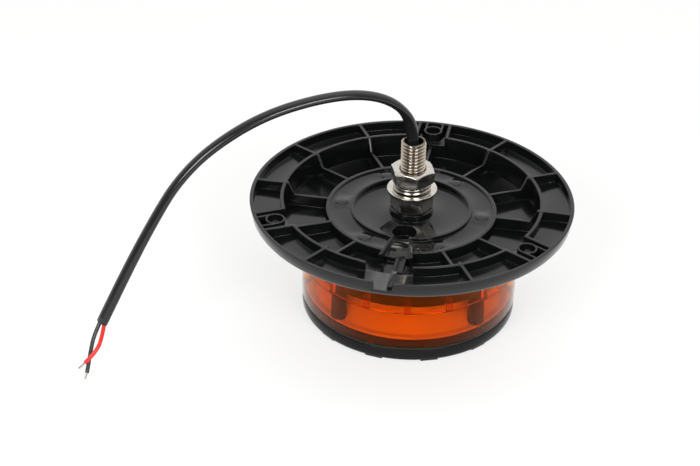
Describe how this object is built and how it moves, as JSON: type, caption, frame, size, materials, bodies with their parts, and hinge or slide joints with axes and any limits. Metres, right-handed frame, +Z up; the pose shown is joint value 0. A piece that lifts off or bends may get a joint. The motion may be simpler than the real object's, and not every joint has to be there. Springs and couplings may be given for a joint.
{
  "type": "led warning beacon",
  "caption": "Low-profile amber LED warning beacon with a wide ribbed mounting base, hollow threaded stud with nut and washers, and a short two-core cable.",
  "frame": {"origin": "centre of the cap's resting face, on the axis of the stud", "axes": "+Z up along the stud, with the beacon resting on its cap and its mounting side up; in service it is turned over, so that +Z points into the vehicle roof or panel. The base's cable channel points along -Y."},
  "size_m": [0.2156, 0.1755, 0.1219],
  "materials": {
    "black_plastic": "satin moulded black",
    "black_cap": "satin moulded black",
    "nickel_stud": "nickel-plated brass, threaded",
    "nickel_nut": "nickel-plated brass",
    "steel": "zinc-plated",
    "rubber": "matte black",
    "amber_lens": "clear amber, polished",
    "white_plastic": "gloss white",
    "white_board": "white solder mask",
    "led_package": "clear dome on a white package",
    "aluminium": "milled",
    "green_board": "green solder mask",
    "chip": "moulded black",
    "can": "drawn can",
    "ferrite": "sintered",
    "resin": "cast black resin",
    "red_pvc": "satin red PVC",
    "black_pvc": "satin black PVC",
    "cable_jacket": "satin black PVC",
    "tinned": "tinned copper strands"
  },
  "bodies": {
    "beacon": {"base": "black_plastic", "stud": "nickel_stud", "stud_gasket": "rubber", "base_nut": "nickel_nut", "lens": "amber_lens", "lens_gasket": "rubber", "cap": "black_cap", "cap_gasket": "rubber", "cap_screws": "steel", "reflector": "white_plastic", "led_board": "white_board", "leds": "led_package", "heat_plate": "aluminium", "plate_screws": "steel", "driver_board": "green_board", "driver_screws": "steel", "driver_chips": "chip", "resistors": "chip", "capacitors": "can", "inductor": "ferrite", "board_link": "chip", "potting": "resin", "lead_red": "red_pvc", "lead_black": "black_pvc", "cable": "cable_jacket", "core_red": "red_pvc", "core_black": "black_pvc", "tip_red": "tinned", "tip_black": "tinned"},
    "washers": {"flat_washer": "nickel_nut", "spring_washer": "nickel_nut"},
    "nut": {"mounting_nut": "nickel_nut"}
  },
  "joints": [
    {"name": "washer_slide", "type": "slide", "parent": "beacon", "child": "washers", "axis": [0, 0, 1], "range_m": [0, 0.01225]},
    {"name": "nut_turn", "type": "hinge", "parent": "washers", "child": "nut", "pos_m": [0, 0, 0.0727], "axis": [0, 0, 1], "range_deg": [0, 2520]}
  ],
  "couplings": [
    {"joint": "washer_slide", "follows": "nut_turn", "m_per_rad": 0.00027852}
  ]
}
